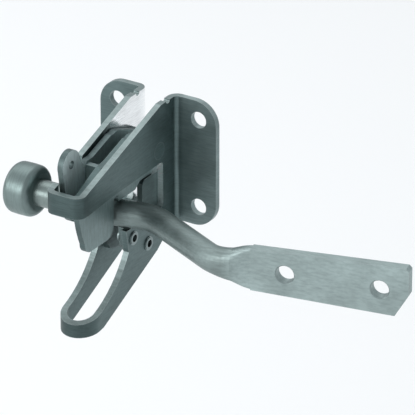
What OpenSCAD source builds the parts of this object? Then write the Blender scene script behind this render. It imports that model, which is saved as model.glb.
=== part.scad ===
// Gravity gate latch: a post bracket, a falling dog with a lift knob, and a striker bar for the gate.
// X runs along the post face, -Y points out of the post, +Z is up.
// The origin is the centre of the four post holes, on the back face of the flanges.

/* [Bracket] */
// Overall width across both flanges
bracket_w = 63.5; // [63:0.5:66]
// Height of the flanges
bracket_h = 63.5; // [63:0.5:66]
// Centre distance of the post holes, both ways
hole_pitch = 44.45; // [44:0.05:45]
// Diameter of the post holes
post_hole_d = 8.2; // [7:0.1:9]
// Thickness of the steel sheet
sheet = 3; // [2.8:0.1:3]
// Clear gap between the two webs
web_gap = 13.5; // [13.5:0.1:14]
// How far the nose stands out of the post
reach = 84; // [84:0.5:88]

/* [Dog] */
// Width over the dog's two cheeks
dog_w = 12; // [11.6:0.1:12]
// Diameter of the pivot pin
pin_d = 6; // [5:0.1:6]

/* [Knob] */
// Diameter of the lift knob
knob_d = 24.6; // [20:0.2:26]
// Length of the lift knob
knob_l = 14.4; // [12:0.2:15]
// Diameter of the knob's stem
stem_d = 12.6; // [11:0.1:13]

/* [Striker] */
// Diameter of the striker rod
rod_d = 12.7; // [12:0.1:12.7]
// Yaw of the striker to the post face, in degrees
striker_yaw = 13; // [12:0.5:14]
// Sideways step of the crank
crank_step = 33.3; // [32:0.1:35]
// Length of the crank along the striker
crank_run = 41.7; // [40:0.1:44]
// Centre distance of the two gate holes
gate_pitch = 44.45; // [44:0.05:45]
// Diameter of the gate holes
gate_hole_d = 8.6; // [7:0.1:9]

/* [Hidden] */
$fn = 64;

bend_in = 2;                          // inside radius of every sheet bend
bend_out = bend_in + sheet;
web_in = web_gap / 2;
web_out = web_in + sheet;
half_h = bracket_h / 2;
corner_r = 12;                        // outer corners of the flanges
shelf = 15.4;                         // level top edge of a web, before it slopes
nose_top = 11;
nose_low = 0.4;
nose_return = 3;                      // how far the nose's left end returns, past its bend
side_w = 60;                          // more than the latch's width, for side-profile cuts
seat = 0.02;                          // gap all round a part that is fixed in its hole
relief_at = -9.6;                     // Y of the bend relief at the top of each rear bend
relief_r = 1.5;

pivot = [-17, 9];                     // pivot axis, as Y and Z
pin_fit = 0.06;                       // radial running clearance of the dog on its pin
pin_sink = 1.15;                      // depth of the pin's flush, countersunk end
stem_at = [-66, -0.6];                // knob axis, as Y and Z
left_end_r = 40.5;                    // the left web ends on this arc round the pivot

mouth_back = -14;
mouth_roof = 2.5;
mouth_floor = -20.6;
mouth_r = 2;                          // rounding of the mouth's rear corners
rod_at = [0, -42.8, -13.7];           // a point of the rod's axis, between the webs

guide_front = -78.5;                  // Y of the guide loop's front
guide_arc = [-84.4, -9.4];            // centre of the curved upper edge of the guide loop
guide_arc_r = 46.8;

channel_out = web_in;                 // the stop channel nests between the webs
channel_in = web_in - sheet;
channel_back = -8.8;
channel_r = sheet + 1;
channel_top = -3;
rivets_at = [[-39.6, -26.2], [-27, -34.2]];
rivet_d = 5;
rivet_bore = 3.6;
rim = 0.9;                            // how far a rivet's rolled rim stands past its shank

cheek_out = dog_w / 2;
cheek_in = cheek_out - sheet;
boss_r = 8;
bridge_y = -59.6;                     // front face of the cross plate
bridge_top = 16.2;
tenon_h = 5;
tenons_z = [-1.5, 8.5];
ear_at = [-71, 20.5];                 // the ear's hole, for a pull cord
dog_r = 62.6;                         // the hook's front edge is an arc round the pivot
hook_back = -50.3;
hook_low = -21.6;

tenon_r = 3.5;
knob_tenon_r = 4;
stem_washer_t = 1;
knob_at = -23.6;                      // X of the knob's inner face

crank_angle = atan2(crank_step, crank_run);
bend_r = 22;                          // centreline radius of the crank's two bends
bend_cut = bend_r * tan(crank_angle / 2);
bend_steps = 8;
flat_len = 10;                        // the bar has become flat this far past its second bend
flat_steps = 8;
bend_flatness = 0.4;                  // how flat the bar is where the second bend ends
sides = 32;
end_chamfer = 1.2;
rod_left = -16;
crank_start = 20.6;
bar_x2 = crank_start + crank_run + bend_cut;   // where the second bend ends
plate_len = 91.2;                     // from the second corner to the striker's end
plate_t = 5.2;
plate_h1 = 20.6;
plate_h2 = 24.2;
first_hole = 33.2;                    // from the second corner
hole_chamfer = 0.4;
end_cut = [6.4, 11];                  // the slanting cut at the plate's lower end corner

// Turns a profile drawn as (Y, Z) into a slab between two X positions.
module side_slab(x0, x1) {
    translate([x0, 0, 0]) rotate([90, 0, 90]) linear_extrude(x1 - x0) children();
}

// A quarter of a bent sheet, seen from above: dx and dy pick the quadrant.
module bend_plan(x, y, dx, dy, r_out) {
    translate([x, y]) intersection() {
        difference() {
            circle(r_out);
            circle(r_out - sheet);
        }
        translate([dx > 0 ? 0 : -r_out, dy > 0 ? 0 : -r_out]) square(r_out);
    }
}

// ---- bracket: flanges, webs, nose and guide loop, all one pressing ----

// Points along an arc, as (Y, Z).
function arc(c, r, from, to, n = 8) =
    [for (i = [0:n]) let (a = from + (to - from) * i / n) c + r * [cos(a), sin(a)]];

// The webs above the mouth's floor
module upper_profile() {
    difference() {
        polygon([[0, half_h], [-shelf, half_h], [5 - reach, nose_top], [-reach - 1, nose_top],
                 [-reach - 1, nose_low], [-76, nose_low], [-56, 1.8], [mouth_back - mouth_r, mouth_roof],
                 [mouth_back, mouth_roof - mouth_r], [mouth_back, mouth_floor + mouth_r],
                 [mouth_back - mouth_r, mouth_floor], [0, mouth_floor]]);
        for (z = [mouth_roof - mouth_r, mouth_floor + mouth_r]) translate([mouth_back - mouth_r, z])
            circle(mouth_r);
        // Bend relief at the top of the bend
        translate([relief_at, half_h]) circle(relief_r);
    }
}

// The webs below the mouth's floor, and the sloping guide loop
module lower_profile() {
    polygon(concat([[0, mouth_floor], [-45.5, mouth_floor]],
                   arc(guide_arc, guide_arc_r, -29, -71),
                   [[-80, -57], [-80, -63.4], [-65, -61.4], [-19, -41], [-6, -half_h], [0, -half_h]]));
}

module rear_bend(side) {
    bend_plan(side * (web_out + bend_in), -bend_out, -side, 1, bend_out);
}

// The right web and the nose that it returns into, seen from above
module right_plan() {
    translate([web_in, bend_out - reach]) square([sheet, reach - 2 * bend_out]);
    rear_bend(1);
    for (s = [-1, 1]) bend_plan(s * (web_out - bend_out), bend_out - reach, s, -1, bend_out);
    translate([bend_out - web_out, -reach]) square([2 * (web_out - bend_out), sheet]);
    translate([-web_out, bend_out - reach]) square([sheet, nose_return]);
}

module left_plan() {
    translate([-web_out, -70]) square([sheet, 70 - bend_out]);
    rear_bend(-1);
}

// Both webs and the guide loop's bend, seen from above
module guide_plan() {
    bend_y = guide_front + web_out;
    for (s = [-1, 1]) {
        translate([s > 0 ? web_in : -web_out, bend_y]) square([sheet, -bend_out - bend_y]);
        rear_bend(s);
    }
    difference() {
        translate([0, bend_y]) circle(web_out);
        translate([0, bend_y]) circle(web_in);
        translate([-web_out, bend_y]) square(2 * web_out);
    }
}

// The left web ends on an arc round the pivot, so that the knob's stem can swing past it.
module left_profile() {
    intersection() {
        upper_profile();
        union() {
            translate(pivot) circle(left_end_r);
            translate([-20, -60]) square([20, 120]);
        }
    }
}

module flange_outline() {
    x0 = web_out + bend_in;
    x1 = bracket_w / 2;
    difference() {
        intersection() {
            union() {
                translate([x0, -half_h]) square([x1 - corner_r - x0, bracket_h]);
                translate([x0, corner_r - half_h]) square([x1 - x0, bracket_h - 2 * corner_r]);
                for (z = [-1, 1]) translate([x1 - corner_r, z * (half_h - corner_r)]) circle(corner_r);
            }
            // The corner circles reach back past the bend line, and are cut off there
            translate([x0, -half_h]) square([x1 - x0, bracket_h]);
        }
        for (z = [-1, 1]) translate([hole_pitch / 2, z * hole_pitch / 2]) circle(d = post_hole_d);
    }
}

module flange() {
    rotate([90, 0, 0]) linear_extrude(sheet) flange_outline();
}

module rivet_holes() {
    side_slab(-side_w / 2, side_w / 2) for (p = rivets_at) translate(p) circle(d = rivet_d + 2 * seat);
}

module tall() {
    translate([0, 0, -70]) linear_extrude(140) children();
}

module bracket() {
    color([0.36, 0.42, 0.42]) difference() {
        union() {
            intersection() {
                tall() right_plan();
                side_slab(-side_w / 2, side_w / 2) upper_profile();
            }
            intersection() {
                tall() left_plan();
                side_slab(-side_w / 2, side_w / 2) left_profile();
            }
            intersection() {
                tall() guide_plan();
                side_slab(-side_w / 2, side_w / 2) lower_profile();
            }
            flange();
            mirror([1, 0, 0]) flange();
        }
        rivet_holes();
        side_slab(-side_w / 2, side_w / 2) translate(pivot) circle(d = pin_d + 2 * seat);
        // Countersink for the flush end of the pivot pin
        translate([web_out + 0.01, pivot[0], pivot[1]]) rotate([0, -90, 0])
            cylinder(h = pin_sink + 0.05, r1 = pin_d / 2 + pin_sink + 0.07, r2 = pin_d / 2 + seat);
    }
}

// ---- stop channel: stops the falling dog, and the rod on its way in ----

module channel_plan() {
    corner_x = channel_out - channel_r;
    for (s = [-1, 1]) {
        translate([s > 0 ? channel_in : -channel_out, -46]) square([sheet, 46 + channel_back - channel_r]);
        bend_plan(s * corner_x, channel_back - channel_r, s, 1, channel_r);
    }
    translate([-corner_x, channel_back - sheet]) square([2 * corner_x, sheet]);
}

module stop_channel() {
    color([0.25, 0.3, 0.3]) difference() {
        intersection() {
            tall() channel_plan();
            side_slab(-web_in, web_in)
                polygon([[-8, channel_top], [-25, channel_top], [-27, channel_top - 2], [-27, -17.6],
                         [-30, mouth_floor], [-43, mouth_floor], [-42.2, -30], [-38, -36],
                         [-24, -39.5], [-8, -33]]);
        }
        rivet_holes();
        // The left side is cut down to the mouth's floor
        translate([-web_in - 1, -50, mouth_floor]) cube([channel_r + 1.15, 50, 30]);
    }
}

// A tubular rivet through a web and a side of the channel, rolled over at both ends.
module channel_rivet() {
    roll = 0.7;                       // thickness of the rolled rim inside the channel
    rotate([0, 90, 0]) rotate_extrude() difference() {
        union() {
            translate([0, channel_in - roll]) square([rivet_d / 2, web_out - channel_in + roll]);
            translate([0, channel_in - roll]) square([rivet_d / 2 + rim, roll]);
            translate([0, web_out]) square([rivet_d / 2 + rim, 0.5]);
            translate([0, web_out]) square([rivet_d / 2 + rim / 2, 0.8]);
        }
        translate([-1, channel_in - 1]) square([1 + rivet_bore / 2, web_out - channel_in + 3]);
    }
}

module channel_rivets() {
    color([0.5, 0.55, 0.55]) for (p = rivets_at) translate([0, p[0], p[1]]) {
        channel_rivet();
        mirror([1, 0, 0]) channel_rivet();
    }
}

// ---- pivot ----

module pivot_pin() {
    head_r = 5.4;
    head_h = 2;
    color([0.72, 0.76, 0.75]) translate([0, pivot[0], pivot[1]]) rotate([0, 90, 0])
        rotate_extrude() polygon([[0, -web_out - head_h], [head_r - 1, -web_out - head_h],
                                  [head_r, -web_out - head_h + 1], [head_r, -web_out],
                                  [pin_d / 2, -web_out], [pin_d / 2, web_out - pin_sink],
                                  [pin_d / 2 + pin_sink, web_out], [0, web_out]]);
}

module pivot_washers() {
    play = 0.07;
    t = web_in - cheek_out - 2 * play;
    color([0.7, 0.74, 0.73]) for (x = [cheek_out + play, -cheek_out - play - t])
        translate([x, pivot[0], pivot[1]]) rotate([0, 90, 0]) difference() {
            cylinder(h = t, r = 6);
            translate([0, 0, -1]) cylinder(h = t + 2, d = pin_d + 0.3);
        }
}

// ---- dog: two plates, a bridge and a bush ----

// The part of a plate round the pivot, with the foot that rests on the stop channel.
module dog_tail() {
    translate(pivot) circle(boss_r);
    polygon([[-17, 17], [-29, 21.6], [-38, 22.2], [-54, 17.2], [-54, -5.6], [-32, -5.6], [-28, -2.7],
             [-18, -2.7], [-16, 1.1]]);
    translate([-33.4, 15.8]) circle(6.8);
}

// Where the bridge's tenons pass through both plates, and the pin through everything
module plate_holes() {
    translate(pivot) circle(d = pin_d + 2 * pin_fit);
    for (z = tenons_z) translate([bridge_y - seat, z - seat])
        square([sheet + 2 * seat, tenon_h + 2 * seat]);
}

module hook_outline() {
    difference() {
        union() {
            dog_tail();
            polygon(concat([[-54, 17.2], [-60, 16.6], [-72, 11.4]], arc(pivot, dog_r, 181, 203.8),
                           arc([-69.3, hook_low + 5], 5, 182, 270),
                           arc([hook_back - 6, hook_low + 6], 6, 270, 360),
                           [[hook_back, -5.6], [-40, -5.6]]));
        }
        translate([-48.2, -4.4]) circle(2.1);
        plate_holes();
    }
}

module ear_outline() {
    difference() {
        union() {
            dog_tail();
            polygon([[-53, 17.4], [-58.4, 17.4], [-60.5, 15], [-64.5, 22], [-77.9, 20], [-74.8, -1],
                     [-60, -9.4], [-55.5, -9.4], [-52.6, -6.5]]);
            translate(ear_at) circle(7);
            translate(stem_at) circle(8.9);
        }
        translate(stem_at) circle(tenon_r + seat);
        translate(ear_at) circle(2);
        plate_holes();
    }
}

module hook_plate() {
    color([0.3, 0.36, 0.36]) side_slab(cheek_in, cheek_out) hook_outline();
}

module ear_plate() {
    color([0.33, 0.39, 0.39]) side_slab(-cheek_out, -cheek_in) ear_outline();
}

// A cross plate between the two plates, with tenons riveted over in them.
module dog_bridge() {
    color([0.3, 0.36, 0.36]) {
        translate([-cheek_in, bridge_y, -3]) cube([2 * cheek_in, sheet, bridge_top + 3]);
        for (z = tenons_z) translate([-cheek_out, bridge_y, z]) cube([dog_w, sheet, tenon_h]);
    }
}

// The bush that keeps the plates apart and turns on the pin.
module pivot_bush() {
    color([0.6, 0.64, 0.63]) translate([-cheek_in, pivot[0], pivot[1]]) rotate([0, 90, 0]) difference() {
        cylinder(h = 2 * cheek_in, r = 5);
        translate([0, 0, -1]) cylinder(h = 2 * cheek_in + 2, d = pin_d + 2 * pin_fit);
    }
}

// ---- knob ----

module turned() {
    translate([0, stem_at[0], stem_at[1]]) rotate([0, -90, 0]) rotate_extrude() children();
}

module stem_washer() {
    color([0.7, 0.74, 0.73]) turned() translate([tenon_r + 0.1, cheek_out])
        square([8 - tenon_r, stem_washer_t]);
}

module knob_stem() {
    x0 = cheek_out + stem_washer_t;
    head_t = 1.4;
    color([0.62, 0.68, 0.67]) turned()
        polygon([[0, cheek_in - head_t], [tenon_r + 0.6, cheek_in - head_t], [tenon_r + 1.4, cheek_in - 0.5],
                 [tenon_r + 1.4, cheek_in], [tenon_r, cheek_in], [tenon_r, x0], [stem_d / 2 - 0.6, x0],
                 [stem_d / 2, x0 + 0.6], [stem_d / 2, -knob_at], [knob_tenon_r, -knob_at],
                 [knob_tenon_r, knob_l - knob_at - 1.6], [0, knob_l - knob_at - 1.6]]);
}

// A crowned drum with well-rounded rims and a dished outer face.
module knob() {
    crown = 60;                       // radius of the crowned rim
    rim_r = 4;
    r = knob_d / 2;
    dish = 0.8;
    color([0.6, 0.67, 0.66]) turned() translate([0, -knob_at]) difference() {
        intersection() {
            translate([r - crown, knob_l / 2]) circle(crown, $fn = 360);
            union() {
                square([r - rim_r, knob_l]);
                translate([0, rim_r]) square([r, knob_l - 2 * rim_r]);
                for (y = [rim_r, knob_l - rim_r]) translate([r - rim_r, y]) circle(rim_r);
            }
        }
        translate([-1, -1]) square([1 + knob_tenon_r + seat, knob_l + 2]);
        translate([0, knob_l - dish]) square([r - rim_r - 1.5, 2]);
    }
}

// ---- striker ----

// The striker's centreline, seen from above, in pieces: straight, arc, straight, arc, straight.
// Each station is [x, y, heading, flatness], with flatness 0 for round and 1 for the flat plate.
function arc_stations(x, y, from, to, flatness) =
    [for (i = [0:bend_steps])
        let (h = from + (to - from) * i / bend_steps, s = sign(to - from))
        [x + bend_r * (sin(h) - sin(from)) * s, y - bend_r * (cos(h) - cos(from)) * s, h,
         flatness * i / bend_steps]];

function flat_stations() =
    [for (i = [1:flat_steps])
        [bar_x2 + flat_len * i / flat_steps, -crank_step, 0,
         bend_flatness + (1 - bend_flatness) * i / flat_steps]];

stations = concat(arc_stations(crank_start - bend_cut, 0, 0, -crank_angle, 0),
                  arc_stations(bar_x2 - bend_cut * (1 + cos(crank_angle)),
                               bend_cut * sin(crank_angle) - crank_step, -crank_angle, 0, bend_flatness),
                  flat_stations());

function signed_pow(v, p) = sign(v) * pow(abs(v), p);
function eased(k) = k * k * (3 - 2 * k);

// Outline of the bar at one station: a circle that squares up into the plate's section.
function section(k, shrink) =
    let (e = eased(k), p = 1 - 0.72 * e,
         w = rod_d + (plate_t - rod_d) * e - shrink,
         h = rod_d + (plate_h1 - rod_d) * e - shrink)
    [for (i = [0:sides - 1]) let (a = 360 * (i + 0.5) / sides)
        [w / 2 * signed_pow(cos(a), p), h / 2 * signed_pow(sin(a), p)]];

function ring(st, shrink = 0) =
    [for (q = section(st[3], shrink)) [st[0] - q[0] * sin(st[2]), st[1] + q[0] * cos(st[2]), q[1]]];

module bar_sweep() {
    rings = concat([ring([rod_left, 0, 0, 0], 2 * end_chamfer), ring([rod_left + end_chamfer, 0, 0, 0])],
                   [for (st = stations) ring(st)]);
    n = len(rings);
    polyhedron(points = [for (r = rings) for (q = r) q],
               faces = concat([[for (i = [0:sides - 1]) i]],
                              [for (j = [0:n - 2]) for (i = [0:sides - 1]) let (k = (i + 1) % sides)
                                  [j * sides + i, (j + 1) * sides + i, (j + 1) * sides + k, j * sides + k]],
                              [[for (i = [sides - 1:-1:0]) (n - 1) * sides + i]]));
}

module gate_plate() {
    x0 = flat_len + bend_cut - 0.8;
    low = -plate_h2 / 2;
    difference() {
        rotate([90, 0, 0]) translate([0, 0, -plate_t / 2]) linear_extrude(plate_t) difference() {
            polygon([[x0, -plate_h1 / 2], [plate_len - end_cut[0], low], [plate_len, low + end_cut[1]],
                     [plate_len, plate_h2 / 2], [x0, plate_h1 / 2]]);
            translate([plate_len, plate_h2 / 2]) rotate(45) square(2, center = true);
        }
        for (i = [0, 1]) translate([first_hole + i * gate_pitch, 0, 0]) rotate([90, 0, 0]) {
            translate([0, 0, -plate_t]) cylinder(h = 2 * plate_t, d = gate_hole_d);
            translate([0, 0, plate_t / 2 - hole_chamfer])
                cylinder(h = 1, d1 = gate_hole_d, d2 = gate_hole_d + 2);
        }
    }
}

module striker_bar() {
    color([0.55, 0.61, 0.6]) translate(rod_at) rotate([0, 0, striker_yaw]) {
        bar_sweep();
        translate([crank_start + crank_run, -crank_step, 0]) gate_plate();
    }
}

bracket();
stop_channel();
channel_rivets();
pivot_pin();
pivot_washers();
pivot_bush();
hook_plate();
ear_plate();
dog_bridge();
stem_washer();
knob_stem();
knob();
striker_bar();
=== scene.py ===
import math

import bpy
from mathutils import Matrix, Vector


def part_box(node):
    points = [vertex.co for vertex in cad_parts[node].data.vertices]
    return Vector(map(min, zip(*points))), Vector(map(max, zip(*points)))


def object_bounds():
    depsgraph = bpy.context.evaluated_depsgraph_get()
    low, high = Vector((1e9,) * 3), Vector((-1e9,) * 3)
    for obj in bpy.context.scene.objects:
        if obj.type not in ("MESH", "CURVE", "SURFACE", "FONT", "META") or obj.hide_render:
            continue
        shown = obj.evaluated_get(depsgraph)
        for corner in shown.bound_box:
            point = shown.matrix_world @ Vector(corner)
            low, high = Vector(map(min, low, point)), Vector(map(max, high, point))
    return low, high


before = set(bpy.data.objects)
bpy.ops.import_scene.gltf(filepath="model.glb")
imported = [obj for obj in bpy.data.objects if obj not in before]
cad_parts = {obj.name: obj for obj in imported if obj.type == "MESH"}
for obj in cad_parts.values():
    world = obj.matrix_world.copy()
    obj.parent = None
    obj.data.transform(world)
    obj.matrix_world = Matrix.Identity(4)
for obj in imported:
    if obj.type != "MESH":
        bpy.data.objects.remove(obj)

# Everything is in metres, in the CAD frame: X along the post face, -Y out of the post, Z up.

CAD_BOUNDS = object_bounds()

# ---- camera ----

VIEW_AZIMUTH = 32.0       # degrees round to the right of the front
VIEW_ELEVATION = 26.0
VIEW_DISTANCE = 2.2       # a long lens, so parallel edges stay parallel
VIEW_WIDTH = 0.1878       # what the frame spans at the latch
VIEW_AIM = Vector((0.0538, -0.0457, 0.0033))
SENSOR = 36.0


def make_camera():
    az, el = math.radians(VIEW_AZIMUTH), math.radians(VIEW_ELEVATION)
    out = Vector((math.sin(az) * math.cos(el), -math.cos(az) * math.cos(el), math.sin(el)))
    data = bpy.data.cameras.new("camera")
    data.sensor_width = SENSOR
    data.lens = SENSOR * VIEW_DISTANCE / VIEW_WIDTH
    data.clip_end = 50.0
    camera = bpy.data.objects.new("camera", data)
    camera.location = VIEW_AIM + out * VIEW_DISTANCE
    camera.rotation_euler = (-out).to_track_quat("-Z", "Y").to_euler()
    bpy.context.scene.collection.objects.link(camera)
    bpy.context.scene.camera = camera


# ---- floor and light ----

FLOOR_DROP = 0.16         # the floor lies this far under the latch
FLOOR_HALF = 6.0


def plain_material(name, color, roughness):
    material = bpy.data.materials.new(name)
    material.use_nodes = True
    shader = material.node_tree.nodes["Principled BSDF"]
    shader.inputs["Base Color"].default_value = (*color, 1.0)
    shader.inputs["Roughness"].default_value = roughness
    return material


def make_floor():
    low = CAD_BOUNDS[0][2] - FLOOR_DROP
    mesh = bpy.data.meshes.new("floor")
    corners = [(x * FLOOR_HALF, y * FLOOR_HALF, low) for x, y in ((-1, -1), (1, -1), (1, 1), (-1, 1))]
    mesh.from_pydata(corners, [], [(0, 1, 2, 3)])
    floor = bpy.data.objects.new("floor", mesh)
    bpy.context.scene.collection.objects.link(floor)
    mesh.materials.append(plain_material("floor_white", (0.93, 0.93, 0.93), 0.9))


def softbox(name, place, aim, size, power):
    data = bpy.data.lights.new(name, "AREA")
    data.shape = "RECTANGLE"
    data.size, data.size_y = size
    data.energy = power
    light = bpy.data.objects.new(name, data)
    light.location = place
    light.rotation_euler = (Vector(aim) - Vector(place)).to_track_quat("-Z", "Y").to_euler()
    bpy.context.scene.collection.objects.link(light)


def make_light():
    world = bpy.data.worlds.new("studio")
    world.use_nodes = True
    world.node_tree.nodes["Background"].inputs["Color"].default_value = (0.93, 0.97, 1.0, 1.0)
    world.node_tree.nodes["Background"].inputs["Strength"].default_value = 0.75
    bpy.context.scene.world = world
    centre = (0.03, -0.04, 0.0)
    softbox("key_front", (-0.42, -1.22, 0.42), centre, (1.0, 0.6), 7.0)
    softbox("fill_left", (-1.25, -0.25, 0.62), centre, (1.1, 0.9), 3.5)
    softbox("top_back", (-0.5, 0.4, 1.1), centre, (1.0, 1.0), 4.0)
    bpy.context.scene.view_settings.view_transform = "Standard"


# ---- zinc-plated steel ----

CLOUD_SCALE = 38.0                    # noise cells in a metre: the cloudy tone, the pits and the grain
SPECKLE_SCALE = 700.0
STREAK_SCALE = 150.0
NOISE_ROUGHNESS = 0.55
EDGE_HIGHLIGHT = (0.34, 0.40, 0.395)          # painted highlight colour laid on sharp edges and on cut edges that face up or down
EDGE_HIGHLIGHT_WIDTH = 0.0006                    # how far the painted edge highlight spreads from an edge


class Graph:
    """A short way to build a material's nodes."""

    def __init__(self, name):
        self.material = bpy.data.materials.new(name)
        self.material.use_nodes = True
        self.tree = self.material.node_tree
        self.shader = self.tree.nodes["Principled BSDF"]
        places = self.tree.nodes.new("ShaderNodeTexCoord")
        self.coords = places.outputs["Object"]
        self.normals = places.outputs["Normal"]

    def link(self, source, target):
        self.tree.links.new(source, target)

    def stretched(self, scale):
        node = self.tree.nodes.new("ShaderNodeMapping")
        node.inputs["Scale"].default_value = scale
        self.link(self.coords, node.inputs["Vector"])
        return node.outputs["Vector"]

    def noise(self, scale, detail, vector=None):
        node = self.tree.nodes.new("ShaderNodeTexNoise")
        node.inputs["Scale"].default_value = scale
        node.inputs["Detail"].default_value = detail
        node.inputs["Roughness"].default_value = NOISE_ROUGHNESS
        self.link(vector or self.coords, node.inputs["Vector"])
        return node.outputs["Fac"]

    def remap(self, value, low, high, out_low, out_high):
        node = self.tree.nodes.new("ShaderNodeMapRange")
        node.inputs["From Min"].default_value = low
        node.inputs["From Max"].default_value = high
        node.inputs["To Min"].default_value = out_low
        node.inputs["To Max"].default_value = out_high
        self.link(value, node.inputs["Value"])
        return node.outputs["Result"]

    def mix(self, factor, first, second):
        node = self.tree.nodes.new("ShaderNodeMix")
        node.data_type = "RGBA"
        self.link(factor, node.inputs["Factor"])
        for socket, value in ((node.inputs[6], first), (node.inputs[7], second)):
            if isinstance(value, tuple):
                socket.default_value = (*value, 1.0)
            else:
                self.link(value, socket)
        return node.outputs[2]

    def math(self, operation, first, second):
        node = self.tree.nodes.new("ShaderNodeMath")
        node.operation = operation
        for socket, value in zip(node.inputs, (first, second)):
            if isinstance(value, float):
                socket.default_value = value
            else:
                self.link(value, socket)
        return node.outputs[0]

    def scale_color(self, color, factor):
        node = self.tree.nodes.new("ShaderNodeVectorMath")
        node.operation = "SCALE"
        if isinstance(color, tuple):
            node.inputs[0].default_value = color
        else:
            self.link(color, node.inputs[0])
        self.link(factor, node.inputs["Scale"])
        return node.outputs["Vector"]

    def axis_value(self, vector, axis):
        split = self.tree.nodes.new("ShaderNodeSeparateXYZ")
        self.link(vector, split.inputs["Vector"])
        return split.outputs[axis]

    def where(self, conditions):
        """1 where every condition holds, and 0 elsewhere.

        A condition is (kind, axis, limit, blur). The kind is "before" or "past", for a place on the axis,
        or "facing", for a surface that faces along it either way.
        """
        mask = None
        for kind, axis, limit, blur in conditions:
            if kind == "facing":
                value = self.math("ABSOLUTE", self.axis_value(self.normals, axis), 0.0)
            else:
                value = self.axis_value(self.coords, axis)
            ends = (1.0, 0.0) if kind == "before" else (0.0, 1.0)
            one = self.remap(value, limit - blur, limit + blur, *ends)
            mask = one if mask is None else self.math("MULTIPLY", mask, one)
        return mask

    def blend(self, factor, first, second):
        """Goes from one number to another as the factor goes from 0 to 1."""
        if isinstance(first, float):
            return self.remap(factor, 0.0, 1.0, first, second)
        return self.math("ADD", self.math("MULTIPLY", first, self.remap(factor, 0.0, 1.0, 1.0, 0.0)),
                         self.math("MULTIPLY", factor, second))

    def bump(self, height, strength, distance, normal=None):
        node = self.tree.nodes.new("ShaderNodeBump")
        node.inputs["Strength"].default_value = strength
        node.inputs["Distance"].default_value = distance
        self.link(height, node.inputs["Height"])
        if normal:
            self.link(normal, node.inputs["Normal"])
        return node.outputs["Normal"]


def edge_mask(graph, radius):
    """1 along sharp edges, 0 on open faces."""
    bevel = graph.tree.nodes.new("ShaderNodeBevel")
    bevel.samples = 4
    bevel.inputs["Radius"].default_value = radius
    geometry = graph.tree.nodes.new("ShaderNodeNewGeometry")
    dot = graph.tree.nodes.new("ShaderNodeVectorMath")
    dot.operation = "DOT_PRODUCT"
    graph.link(bevel.outputs["Normal"], dot.inputs[0])
    graph.link(geometry.outputs["Normal"], dot.inputs[1])
    return graph.remap(dot.outputs["Value"], 0.995, 0.90, 0.0, 1.0)


def zinc(name, color, roughness, grain=(1.0, 1.0, 14.0), pits=0.25, edge_highlight=0.5, patches=(), up_down_highlight=0.0):
    """Zinc plate over steel: a fine grain along the rolling direction, a cloudy tone and a painted
    highlight along sharp edges.

    patches are (conditions, colour, roughness): where all the conditions hold, the surface takes another
    colour and roughness; several patches are painted light or shade.
    up_down_highlight is how much painted highlight the cut edges that face up or down get.
    """
    graph = Graph(name)
    shader = graph.shader
    shader.inputs["Metallic"].default_value = 1.0
    cloud = graph.noise(CLOUD_SCALE, 4.0)
    speckle = graph.noise(SPECKLE_SCALE, 3.0)
    streak = graph.noise(STREAK_SCALE, 6.0, graph.stretched(grain))
    base, rough = color, roughness
    for conditions, patch_color, patch_roughness in patches:
        mask = graph.where(conditions)
        base = graph.mix(mask, base, patch_color)
        rough = graph.blend(mask, rough, patch_roughness)
    # painted highlight: surfaces facing up or down, the cut top edges of the sheet, are mixed towards the
    # light edge colour
    if up_down_highlight:
        lit_cut_edges = graph.where([("facing", 2, 0.38, 0.12)])
        base = graph.mix(graph.math("MULTIPLY", lit_cut_edges, up_down_highlight), base, EDGE_HIGHLIGHT)
    tone = graph.scale_color(base, graph.remap(cloud, 0.35, 0.65, 0.84, 1.16))
    tone = graph.scale_color(tone, graph.remap(streak, 0.4, 0.75, 1.06, 0.82))
    # painted highlight: sharp edges are mixed towards a light colour, standing in for light caught by
    # rounded edges
    edge = graph.math("MULTIPLY", edge_mask(graph, EDGE_HIGHLIGHT_WIDTH), edge_highlight)
    tone = graph.mix(edge, tone, EDGE_HIGHLIGHT)
    graph.link(tone, shader.inputs["Base Color"])
    gloss = graph.math("ADD", graph.remap(cloud, 0.3, 0.7, -0.05, 0.06),
                       graph.remap(speckle, 0.3, 0.7, -0.04, 0.05))
    graph.link(graph.math("ADD", gloss, rough), shader.inputs["Roughness"])
    normal = graph.bump(streak, 0.10, 0.0002)
    normal = graph.bump(speckle, pits, 0.00012, normal)
    graph.link(normal, shader.inputs["Normal"])
    return graph.material


def paint(node, material):
    """Gives a CAD node its finish."""
    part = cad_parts[node]
    part.data.materials.clear()
    part.data.materials.append(material)


make_camera()
make_floor()
make_light()

bridge_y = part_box("dog_bridge")[0][1]
plate_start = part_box("striker_bar")[1][0] - 0.082
flange_start = 0.012      # X where the right flange begins
flange_front = -0.006     # Y in front of which there is no flange
inside = 0.0075           # the webs' inside faces lie nearer the middle than this
web_front = -0.036        # Y up to which the webs' inner faces carry the painted reflection
nose_start = -0.073       # Y beyond which the pressing is painted darkest, as painted shade
mouth_floor = -0.0206     # Z of the lower edge of the mouth that the rod goes into
mouth_roof = 0.0032       # Z of its upper edge
mouth_back = -0.014       # Y of its rear edge
rolled_face = ("facing", 0, 0.75, 0.12)      # the flat faces of the dog's plates, not their cut edges
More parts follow.
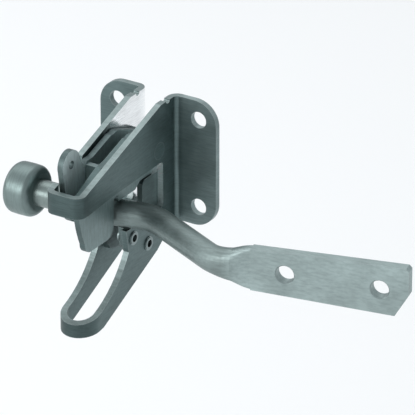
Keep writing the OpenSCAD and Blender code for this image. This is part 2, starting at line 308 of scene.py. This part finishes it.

# Painted light on the pressing: a near-white painted reflection on the inside of the webs, a painted
# highlight on the mouth's rear edge, the right flange painted lighter, and painted shade, darkest of all,
# at the front beyond the nose.
sheet_metal = zinc("sheet_zinc", (0.12, 0.165, 0.165), 0.42, grain=(1.0, 1.0, 12.0), up_down_highlight=0.45, patches=[
    # painted reflection: the webs' inner faces are near-white
    ([("before", 0, inside, 0.0004), ("past", 0, -inside, 0.0004), ("past", 1, web_front, 0.004),
      ("past", 2, mouth_floor, 0.002), ("facing", 0, 0.85, 0.05)], (0.95, 0.97, 0.98), 0.16),
    # painted light: the right flange is painted lighter to make up for light it lacks
    ([("past", 0, flange_start, 0.002), ("past", 1, flange_front, 0.003)], (0.215, 0.275, 0.275), 0.42),
    # painted highlight: the mouth's rear edge is near-white
    ([("past", 1, mouth_back - 0.003, 0.0008), ("before", 1, mouth_back + 0.001, 0.0004),
      ("past", 2, mouth_floor, 0.002), ("before", 2, mouth_roof, 0.0005), ("facing", 1, 0.5, 0.2)],
     (0.85, 0.95, 0.94), 0.5),
    # painted shade: the front beyond the nose is darkest
    ([("before", 1, nose_start, 0.004)], (0.07, 0.10, 0.10), 0.45)])
channel_metal = zinc("channel_zinc", (0.12, 0.16, 0.16), 0.45, grain=(1.0, 1.0, 12.0))
hook_metal = zinc("hook_zinc", (0.10, 0.14, 0.14), 0.45, grain=(1.0, 9.0, 1.0), edge_highlight=0.15,
                  patches=[([rolled_face], (0.215, 0.28, 0.28), 0.42)])
# painted light: the ear plate's flat faces are painted light, and behind the bridge's front they are
# painted darker as painted shade
ear_metal = zinc("ear_zinc", (0.12, 0.16, 0.16), 0.50, grain=(1.0, 9.0, 1.0), edge_highlight=0.1,
                 patches=[([rolled_face], (0.62, 0.72, 0.72), 0.50),
                          ([rolled_face, ("past", 1, bridge_y, 0.0006)], (0.36, 0.46, 0.46), 0.5)])
bridge_metal = zinc("bridge_zinc", (0.20, 0.26, 0.26), 0.45, grain=(9.0, 1.0, 1.0))
bright = zinc("rivet_zinc", (0.22, 0.27, 0.27), 0.35, edge_highlight=0.3)
pin_metal = zinc("pin_zinc", (0.13, 0.18, 0.18), 0.40, edge_highlight=0.2)
stem_metal = zinc("stem_zinc", (0.23, 0.28, 0.27), 0.40, grain=(16.0, 1.0, 1.0))
knob_metal = zinc("knob_zinc", (0.18, 0.23, 0.225), 0.40, grain=(16.0, 1.0, 1.0))
forged = zinc("striker_zinc", (0.225, 0.275, 0.27), 0.48, grain=(1.0, 6.0, 6.0), pits=0.35,
              patches=[([("past", 0, plate_start, 0.003)], (0.32, 0.39, 0.385), 0.45)])

FINISHES = {
    "bracket": sheet_metal, "stop_channel": channel_metal, "channel_rivets": bright, "pivot_pin": pin_metal,
    "pivot_washers": bright, "pivot_bush": bright, "hook_plate": hook_metal, "ear_plate": ear_metal,
    "dog_bridge": bridge_metal, "stem_washer": bright, "knob_stem": stem_metal, "knob": knob_metal,
    "striker_bar": forged,
}
for node_name, finish in FINISHES.items():
    paint(node_name, finish)
